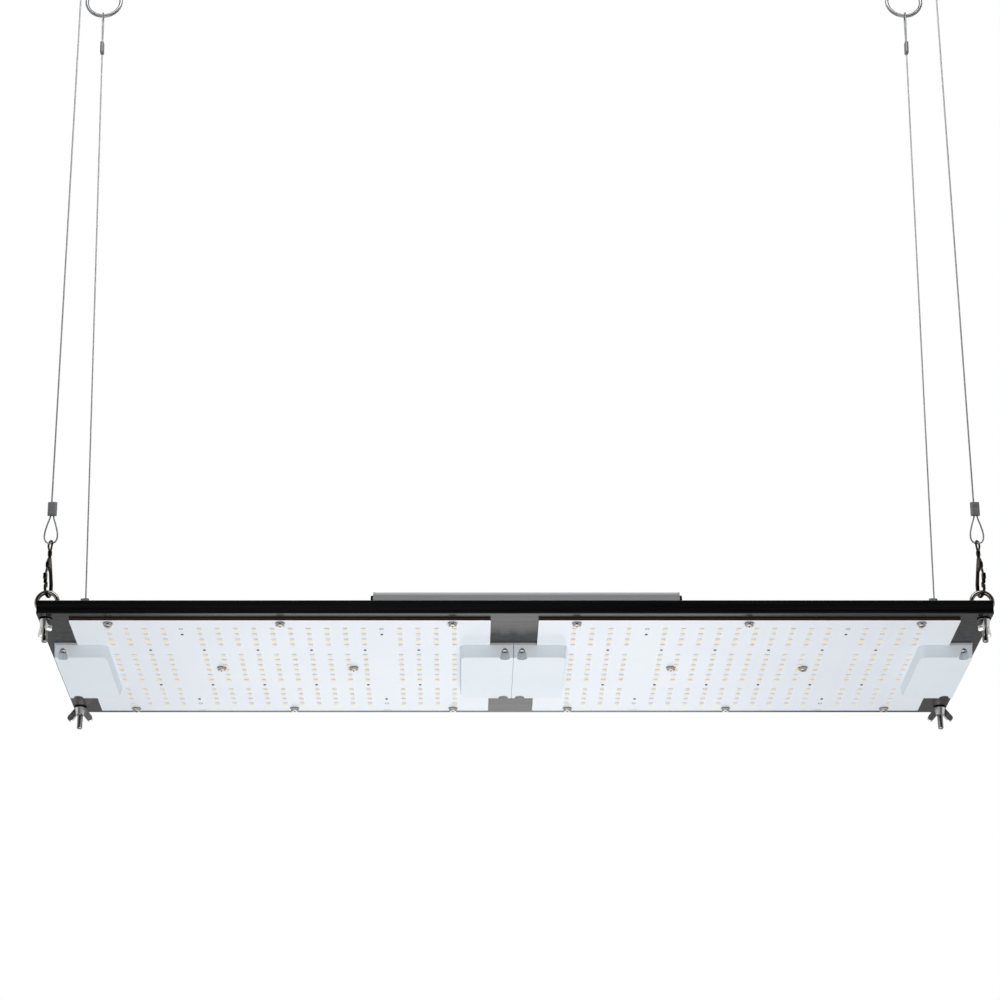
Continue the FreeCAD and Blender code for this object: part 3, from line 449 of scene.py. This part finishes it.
def led_packages(name, node):
    """The LED packages of one board, with the phosphor as a second material."""
    low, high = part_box(node)
    half = package_size / 2
    vertices = []
    faces = []
    phosphor_faces = []
    for column in range(columns):
        for row in range(rows):
            if column in skipped_columns or row in skipped_rows:
                continue
            center = grid_place(low, high, column, row)
            first = len(vertices)
            vertices += square_ring(center, half, high.z)
            vertices += square_ring(center, half, low.z)
            vertices += square_ring(center, half - cup_rim, low.z)
            vertices += square_ring(center, half - cup_slope * cup_rim, low.z + cup_depth)
            for ring in range(3):
                for corner in range(4):
                    after = (corner + 1) % 4
                    faces.append((first + 4 * ring + corner, first + 4 * ring + 4 + corner,
                                  first + 4 * ring + 4 + after, first + 4 * ring + after))
            faces.append(tuple(first + corner for corner in range(4)))
            phosphor_faces.append(len(faces))
            faces.append(tuple(first + 12 + corner for corner in reversed(range(4))))
    piece = piece_from(name, vertices, faces, "light", smooth=False)
    piece.data.materials.append(cup_white)
    piece.data.materials.append(phosphor)
    for number in phosphor_faces:
        piece.data.polygons[number].material_index = 1
    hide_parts(node)


# Filled epoxy from a mould: a soft white wall round the phosphor, a little warmer than the board.
cup_white, tree, shader = new_material("moulded_white_epoxy")
place = add(tree, "ShaderNodeTexCoord")
mottle = add(tree, "ShaderNodeTexNoise", {"Vector": place.outputs["Object"], "Scale": 1 / cup_mottle})
shade = add(tree, "ShaderNodeMix", {"Factor": mottle.outputs["Fac"], "A": tone("ece4e0"),
                                    "B": tone("f6f0ec")}, data_type="RGBA")
tree.links.new(shade.outputs["Result"], shader.inputs["Base Color"])
shader.inputs["Roughness"].default_value = 0.5

# Silicone dosed with phosphor: pale yellow, and no two packages quite the same.
phosphor, tree, shader = new_material("phosphor_filled_silicone")
place = add(tree, "ShaderNodeTexCoord")
mottle = add(tree, "ShaderNodeTexNoise", {"Vector": place.outputs["Object"], "Scale": 1 / phosphor_mottle,
                                          "Detail": 1.0})
shade = add(tree, "ShaderNodeMix", {"Factor": mottle.outputs["Fac"], "A": tone("fddf98"),
                                    "B": tone("fff2bc")}, data_type="RGBA")
tree.links.new(shade.outputs["Result"], shader.inputs["Base Color"])
shader.inputs["Roughness"].default_value = 0.3
shader.inputs["IOR"].default_value = 1.41
led_packages("led_packages_left", "leds_left")
led_packages("led_packages_right", "leds_right")


# ---------------------------------------------------------------------------------------
# Chip parts. Thick-film resistors and small diodes, soldered between the LEDs in the rows
# and columns that were left out.

chip_mottle = 2.0 * MM

# Printed glass fired on ceramic: small, dark and half matt.
chip_dark, tree, shader = new_material("black_glass_on_ceramic")
place = add(tree, "ShaderNodeTexCoord")
mottle = add(tree, "ShaderNodeTexNoise", {"Vector": place.outputs["Object"], "Scale": 1 / chip_mottle})
shade = add(tree, "ShaderNodeMix", {"Factor": mottle.outputs["Fac"], "A": tone("171412"),
                                    "B": tone("2b2623")}, data_type="RGBA")
tree.links.new(shade.outputs["Result"], shader.inputs["Base Color"])
shader.inputs["Roughness"].default_value = 0.4
give(chip_dark, nodes["board_components"])


# ---------------------------------------------------------------------------------------
# Test pads. Round tinned copper pads that the solder mask leaves bare as a ring, one beside
# each chip at the boards' long edges. A printed line marks the board's far edge there.

pad_outer = 1.5 * MM
pad_inner = 0.95 * MM
pad_height = 0.03 * MM
pad_sides = 20
pad_rows = (0, 15)
mark_half = 3.0 * MM
mark_width = 0.35 * MM
mark_from_edge = 1.4 * MM
flux_stain = 1.11 * MM


def ring_pad(center, z):
    """Vertices and faces of a thin flat ring."""
    profile = [(pad_outer, z), (pad_outer, z - pad_height), (pad_inner, z - pad_height), (pad_inner, z)]
    vertices = []
    for radius, height in profile:
        for side in range(pad_sides):
            angle = 2 * math.pi * side / pad_sides
            x = center[0] + radius * math.cos(angle)
            y = center[1] + radius * math.sin(angle)
            vertices.append((x, y, height))
    faces = []
    for row in range(len(profile)):
        for side in range(pad_sides):
            after = (side + 1) % pad_sides
            below = (row + 1) % len(profile)
            faces.append((row * pad_sides + side, row * pad_sides + after,
                          below * pad_sides + after, below * pad_sides + side))
    return vertices, faces


def printed_line(low, high, z):
    """Vertices and faces of a thin level strip."""
    corners_at = [(low[0], low[1]), (high[0], low[1]), (high[0], high[1]), (low[0], high[1])]
    vertices = [(x, y, z) for x, y in corners_at] + [(x, y, z - pad_height) for x, y in corners_at]
    faces = [(0, 1, 2, 3), (7, 6, 5, 4)]
    faces += [(corner, 4 + corner, 4 + (corner + 1) % 4, (corner + 1) % 4) for corner in range(4)]
    return vertices, faces


def join_parts(parts):
    """One list of vertices and one of faces from several."""
    vertices = []
    faces = []
    for part_vertices, part_faces in parts:
        first = len(vertices)
        vertices += part_vertices
        faces += [tuple(first + index for index in face) for face in part_faces]
    return vertices, faces


# Tinned copper: grey-brown where flux was left on it.
tinned, tree, shader = new_material("tinned_copper_with_flux")
place = add(tree, "ShaderNodeTexCoord")
stain = add(tree, "ShaderNodeTexNoise", {"Vector": place.outputs["Object"], "Scale": 1 / flux_stain})
shade = add(tree, "ShaderNodeMix", {"Factor": stain.outputs["Fac"], "A": tone("6d625a"),
                                    "B": tone("9a9088")}, data_type="RGBA")
tree.links.new(shade.outputs["Result"], shader.inputs["Base Color"])
shader.inputs["Metallic"].default_value = 0.3
shader.inputs["Roughness"].default_value = 0.45

for side in ("left", "right"):
    led_low, led_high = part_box("leds_" + side)
    line_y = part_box("board_" + side)[1].y - mark_from_edge
    parts = []
    for column in skipped_columns:
        for row in pad_rows:
            parts.append(ring_pad(grid_place(led_low, led_high, column, row), led_high.z))
        x = grid_place(led_low, led_high, column, 0)[0]
        parts.append(printed_line((x - mark_half, line_y - mark_width), (x + mark_half, line_y), led_high.z))
    pads = piece_from("test_pads_" + side, *join_parts(parts), "light", smooth=False)
    give(tinned, pads)


# ---------------------------------------------------------------------------------------
# Connector covers. Injection moulded in white ABS, with scoops for their screws, and screwed
# over the boards' end tabs.

# The real mould texture is about 0.1 mm, too fine to show, so it is drawn coarser.
satin_grain = 0.5 * MM
satin_depth = 0.03 * MM
cover_mottle = 50 * MM

# Moulded ABS: cool white with a satin face that spreads the light.
abs_white, tree, shader = new_material("moulded_white_abs")
place = add(tree, "ShaderNodeTexCoord")
grain = add(tree, "ShaderNodeTexNoise", {"Vector": place.outputs["Object"], "Scale": 1 / satin_grain,
                                         "Detail": 2.0})
mottle = add(tree, "ShaderNodeTexNoise", {"Vector": place.outputs["Object"], "Scale": 1 / cover_mottle,
                                          "Detail": 1.0})
shade = add(tree, "ShaderNodeMix", {"Factor": mottle.outputs["Fac"], "A": tone("e0e9f1"),
                                    "B": tone("e9f1f7")}, data_type="RGBA")
relief = add(tree, "ShaderNodeBump", {"Height": grain.outputs["Fac"], "Strength": 0.15,
                                      "Distance": satin_depth})
tree.links.new(shade.outputs["Result"], shader.inputs["Base Color"])
tree.links.new(relief.outputs["Normal"], shader.inputs["Normal"])
shader.inputs["Roughness"].default_value = 0.42
shader.inputs["IOR"].default_value = 1.53
for side in ("left", "right"):
    give(abs_white, nodes["cover_%s_outer" % side], nodes["cover_%s_inner" % side])


# ---------------------------------------------------------------------------------------
# Board and cover screws. Small steel pan heads, plated with bright nickel, which hold the
# boards and the covers to the heat sink.

handling_smear = 4.17 * MM


def plated(name, dark, light, roughness):
    """A plated metal whose sheen varies a little with handling."""
    material, tree, shader = new_material(name)
    place = add(tree, "ShaderNodeTexCoord")
    smear = add(tree, "ShaderNodeTexNoise", {"Vector": place.outputs["Object"], "Scale": 1 / handling_smear,
                                             "Detail": 3.0})
    shade = add(tree, "ShaderNodeMix", {"Factor": smear.outputs["Fac"], "A": tone(dark), "B": tone(light)},
                data_type="RGBA")
    gloss = add(tree, "ShaderNodeMapRange", {"Value": smear.outputs["Fac"], "To Min": roughness * 0.7,
                                             "To Max": roughness * 1.3})
    tree.links.new(shade.outputs["Result"], shader.inputs["Base Color"])
    tree.links.new(gloss.outputs["Result"], shader.inputs["Roughness"])
    shader.inputs["Metallic"].default_value = 1.0
    return material


# Bright nickel: a warm mirror, dark on the side that faces the dark and bright below.
bright_nickel = plated("bright_nickel_plated_steel", "a8a4a0", "cbc8c4", 0.14)
give(bright_nickel, nodes["cover_screws"], nodes["board_screws"])


# ---------------------------------------------------------------------------------------
# Board screw washers. Clear nylon discs, punched or moulded, that keep the screw heads off
# the solder mask.

plastic_mottle = 6.25 * MM
plastic_depth = 0.05 * MM


def plain_plastic(name, dark, light, roughness, ior=1.5):
    """A moulded plastic or rubber with a faint mottle."""
    material, tree, shader = new_material(name)
    place = add(tree, "ShaderNodeTexCoord")
    mottle = add(tree, "ShaderNodeTexNoise", {"Vector": place.outputs["Object"], "Scale": 1 / plastic_mottle,
                                              "Detail": 3.0})
    shade = add(tree, "ShaderNodeMix", {"Factor": mottle.outputs["Fac"], "A": tone(dark), "B": tone(light)},
                data_type="RGBA")
    relief = add(tree, "ShaderNodeBump", {"Height": mottle.outputs["Fac"], "Strength": 0.1,
                                          "Distance": plastic_depth})
    tree.links.new(shade.outputs["Result"], shader.inputs["Base Color"])
    tree.links.new(relief.outputs["Normal"], shader.inputs["Normal"])
    shader.inputs["Roughness"].default_value = roughness
    shader.inputs["IOR"].default_value = ior
    return material


# Undyed nylon: it lets most light through, so the board shows white under it.
clear_washer = plain_plastic("natural_nylon", "e6eaec", "f4f6f7", 0.2, 1.53)
clear_shader = clear_washer.node_tree.nodes["Principled BSDF"]
clear_shader.inputs["Transmission Weight"].default_value = 0.75
give(clear_washer, nodes["board_screw_washers"])


# ---------------------------------------------------------------------------------------
# Terminals and leads under the covers. Moulded PBT blocks soldered to the boards' tabs, and
# short insulated leads from one board to the other.

# Moulded PBT: a slightly warm, half matt white.
give(plain_plastic("moulded_white_pbt", "e2e1dc", "edece8", 0.45), nodes["terminal_blocks"])
# Extruded PVC on a copper core: smooth black.
give(plain_plastic("black_core_insulation", "141414", "1f1f1f", 0.45), nodes["jumper_leads"])


# ---------------------------------------------------------------------------------------
# Output lead. A round black cable from the driver to the boards. Moulded nylon glands close
# round the cables, and a rubber bush lines the hole in the heat sink.

# Extruded PVC: black with a dull sheen.
give(plain_plastic("black_pvc_jacket", "0f0f10", "1a1a1b", 0.5), nodes["output_lead"])
# Moulded rubber: black and matt.
give(plain_plastic("black_rubber", "0d0d0d", "161616", 0.65), nodes["lead_grommet"])
# Moulded nylon with glass fibre: black, a little dulled by the fibre.
glass_nylon = plain_plastic("black_glass_filled_nylon", "111112", "1c1c1d", 0.5)
give(glass_nylon, nodes["mains_gland"], nodes["output_gland"])


# ---------------------------------------------------------------------------------------
# Driver. An extruded aluminium housing in its natural silver grey, closed by pressed end
# caps and screwed to the heat sink. It holds a circuit board with a transformer.

# The real lines are finer than this, and are drawn coarser so that they show.
groove_spacing = 1.0 * MM
groove_length = 200 * MM

# Extruded and etched aluminium: satin silver grey with faint lines along it.
silver, tree, shader = new_material("satin_silver_aluminium_extrusion")
place = add(tree, "ShaderNodeTexCoord")
groove_scale = (1 / groove_length, 1 / groove_spacing, 1 / groove_spacing)
stretch = add(tree, "ShaderNodeMapping", {"Vector": place.outputs["Object"], "Scale": groove_scale})
streak = add(tree, "ShaderNodeTexNoise", {"Vector": stretch.outputs["Vector"], "Scale": 1.0, "Detail": 3.0})
shade = add(tree, "ShaderNodeMix", {"Factor": streak.outputs["Fac"], "A": tone("b4b6b9"),
                                    "B": tone("d2d4d6")}, data_type="RGBA")
tree.links.new(shade.outputs["Result"], shader.inputs["Base Color"])
shader.inputs["Metallic"].default_value = 0.3
shader.inputs["Roughness"].default_value = 0.5
give(silver, nodes["driver_case"], nodes["driver_cap_left"], nodes["driver_cap_right"])
# Oxidised steel: near black with a low sheen.
black_oxide = plated("black_oxide_steel", "101010", "1d1d1d", 0.4)
give(black_oxide, nodes["driver_cap_screws"], nodes["driver_mount_screws"])
# Printed mask on laminate: glossy dark green.
give(plain_plastic("green_solder_mask", "0d4a26", "14602f", 0.3), nodes["driver_circuit_board"])
# Sintered ferrite with a taped winding: dark grey and matt.
give(plain_plastic("ferrite_and_tape", "202022", "303033", 0.6), nodes["driver_transformer"])


# ---------------------------------------------------------------------------------------
# Hanging hardware. At each corner an eye bolt goes through the plate, held by a wing nut and
# washer. A die-cast snap hook on a swivel clips in its eye, and a sleeve closes each rope loop.

# Dark nickel on steel: the eye and its thread mirror dark and light in narrow bands.
eye_nickel = plated("dark_nickel_plated_steel", "8a8682", "aaa6a2", 0.2)
# Black nickel on cast zinc: almost black, with brownish reflections.
gunmetal = plated("black_nickel_plated_zinc", "2e2a28", "4d4742", 0.2)
# Bright zinc on steel: light grey and half bright.
bright_zinc = plated("bright_zinc_plated_steel", "d4d4d4", "eeeeee", 0.3)
# Washers: a near black metal with a soft highlight.
near_black_washer = plated("near_black_washer_metal", "141414", "262626", 0.28)
# Aluminium pressed round the rope: dull mid grey.
pressed_aluminium = plated("pressed_aluminium_sleeve", "8c8d90", "a0a1a4", 0.55)
for name in corners:
    give(eye_nickel, nodes["eye_bolt_" + name])
    give(bright_zinc, nodes["wing_nut_" + name])
    give(near_black_washer, nodes["washer_" + name])
    give(gunmetal, nodes["snap_hook_" + name], nodes["snap_trigger_" + name], nodes["swivel_eye_" + name])
    give(pressed_aluminium, nodes["ferrules_" + name])


# ---------------------------------------------------------------------------------------
# Rings. Bent from steel rod, welded shut and zinc plated. Each rope's upper loop hangs on one.

# Zinc on welded steel: mid grey and half bright.
ring_zinc = plated("welded_zinc_plated_steel", "8e8f91", "b4b5b7", 0.3)
give(ring_zinc, nodes["rings_left"], nodes["rings_right"])
